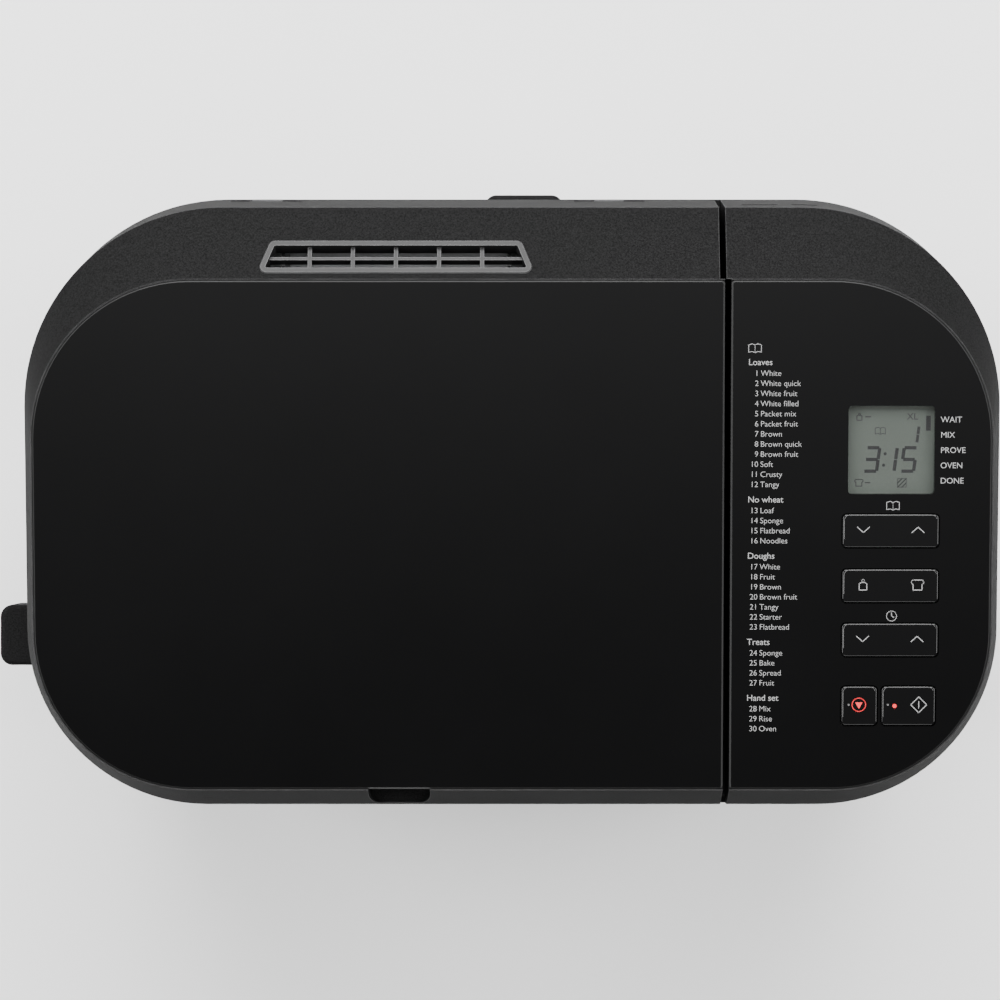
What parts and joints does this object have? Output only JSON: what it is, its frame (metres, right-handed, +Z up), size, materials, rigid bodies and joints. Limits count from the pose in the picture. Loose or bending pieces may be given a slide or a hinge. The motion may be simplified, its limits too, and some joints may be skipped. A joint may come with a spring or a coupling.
{
  "type": "bread machine",
  "caption": "Two-column bread machine with a hinged oven lid, lift-out pan with kneading blade, belt drive and a control column with rocker keys.",
  "frame": {"origin": "middle of the outline's box on the surface the feet stand on", "axes": "+Z up, +X to the user's right, -Y to the front"},
  "size_m": [0.408, 0.2522, 0.3621],
  "materials": {
    "casing_plastic": "fine-grained matte charcoal",
    "gloss_panel": "polished black",
    "key_gloss": "polished black",
    "vent_plastic": "satin charcoal",
    "display_glass": "clear window",
    "display_cell": "grey-green reflective cell",
    "lamp_lens": "red lens",
    "deck_plastic": "satin charcoal, heat resistant",
    "zinc_steel": "zinc-plated sheet",
    "aluminised_steel": "aluminised sheet",
    "heater_sheath": "oxidised heater sheath",
    "bright_steel": "turned steel",
    "cast_alloy": "die-cast",
    "sintered_bronze": "sintered bronze",
    "pan_coating": "fluoropolymer coating",
    "bail_wire": "drawn wire with a dark grip",
    "soft_rubber": "black rubber",
    "seal_silicone": "grey silicone",
    "drive_plastic": "natural glass-filled plastic",
    "motor_core": "stacked laminations",
    "board_laminate": "green circuit laminate",
    "component_dark": "dark moulded cases"
  },
  "bodies": {
    "casing": {"body_shell": "casing_plastic", "base_plate": "zinc_steel", "rubber_feet": "soft_rubber", "base_screws": "bright_steel", "cord_gland": "soft_rubber", "room_sensor_cover": "casing_plastic", "rear_spacer": "casing_plastic", "top_deck": "deck_plastic", "hinge_brackets": "zinc_steel", "hinge_pins": "bright_steel", "control_cover": "casing_plastic", "control_panel": "gloss_panel", "display_window": "display_glass", "display_module": "display_cell", "control_board": "board_laminate", "key_switches": "component_dark", "chamber_liner": "aluminised_steel", "heat_shield": "aluminised_steel", "chamber_pillars": "zinc_steel", "heater_element": "heater_sheath", "heater_clips": "zinc_steel", "oven_sensor": "bright_steel", "pan_seat": "cast_alloy", "bearing_housing": "cast_alloy", "drive_bushes": "sintered_bronze", "drive_belt": "soft_rubber", "chassis_frame": "zinc_steel", "motor_mounts": "soft_rubber", "motor_end_plates": "zinc_steel", "motor_stator": "motor_core", "motor_capacitor": "component_dark", "board_bracket": "zinc_steel", "power_board": "board_laminate", "heater_relay": "component_dark", "transformer": "component_dark"},
    "lid": {"lid_shell": "casing_plastic", "lid_top_panel": "gloss_panel", "vent_grille": "vent_plastic", "vent_duct": "vent_plastic", "lid_inner_plate": "aluminised_steel", "lid_seal": "seal_silicone", "lid_screws": "bright_steel"},
    "pan": {"bread_pan": "pan_coating", "pan_base": "cast_alloy"},
    "bail": {"pan_handle": "bail_wire"},
    "kneader": {"kneading_shaft": "bright_steel", "kneading_blade": "pan_coating"},
    "drive": {"drive_shaft": "bright_steel", "drive_coupling": "cast_alloy", "driven_pulley": "drive_plastic"},
    "motor": {"motor_shaft": "bright_steel", "motor_rotor": "motor_core", "motor_pulley": "drive_plastic", "cooling_fan": "drive_plastic"},
    "programme_key": {"programme_key": "key_gloss"},
    "size_key": {"size_key": "key_gloss"},
    "timer_key": {"timer_key": "key_gloss"},
    "stop_key": {"stop_key": "key_gloss"},
    "start_key": {"start_key": "key_gloss", "start_lamp": "lamp_lens"}
  },
  "joints": [
    {"name": "lid_hinge", "type": "hinge", "parent": "casing", "child": "lid", "pos_m": [-0.0477, 0.1166, 0.316], "axis": [-1, 0, 0], "range_deg": [0, 82]},
    {"name": "pan_lift", "type": "slide", "parent": "casing", "child": "pan", "axis": [0, 0, 1], "range_m": [0, 0.022]},
    {"name": "bail_swing", "type": "hinge", "parent": "pan", "child": "bail", "pos_m": [-0.038, -0.0026, 0.24], "axis": [-1, 0, 0], "range_deg": [0, 25]},
    {"name": "kneader_spin", "type": "hinge", "parent": "pan", "child": "kneader", "pos_m": [-0.038, -0.0026, 0.11], "axis": [0, 0, 1], "continuous": true},
    {"name": "drive_spin", "type": "hinge", "parent": "casing", "child": "drive", "pos_m": [-0.038, -0.0026, 0.06], "axis": [0, 0, 1], "continuous": true},
    {"name": "motor_spin", "type": "hinge", "parent": "casing", "child": "motor", "pos_m": [0.1412, -0.0026, 0.06], "axis": [0, 0, 1], "continuous": true},
    {"name": "programme_key_tilt", "type": "hinge", "parent": "casing", "child": "programme_key", "pos_m": [0.15915, -0.01433, 0.35022], "axis": [0, 0.9953, 0.0973], "range_deg": [-2, 2], "stiffness_Nm_per_rad": 0.6},
    {"name": "size_key_tilt", "type": "hinge", "parent": "casing", "child": "size_key", "pos_m": [0.15915, -0.03632, 0.34807], "axis": [0, 0.9953, 0.0973], "range_deg": [-2, 2], "stiffness_Nm_per_rad": 0.6},
    {"name": "timer_key_tilt", "type": "hinge", "parent": "casing", "child": "timer_key", "pos_m": [0.15915, -0.05802, 0.34595], "axis": [0, 0.9953, 0.0973], "range_deg": [-2, 2], "stiffness_Nm_per_rad": 0.6},
    {"name": "stop_key_press", "type": "slide", "parent": "casing", "child": "stop_key", "axis": [0, 0.0973, -0.9953], "range_m": [0, 0.0007], "stiffness_N_per_m": 1500},
    {"name": "start_key_press", "type": "slide", "parent": "casing", "child": "start_key", "axis": [0, 0.0973, -0.9953], "range_m": [0, 0.0007], "stiffness_N_per_m": 1500}
  ],
  "couplings": [
    {"joint": "kneader_spin", "follows": "drive_spin", "ratio": 1},
    {"joint": "motor_spin", "follows": "drive_spin", "ratio": 4.8}
  ]
}
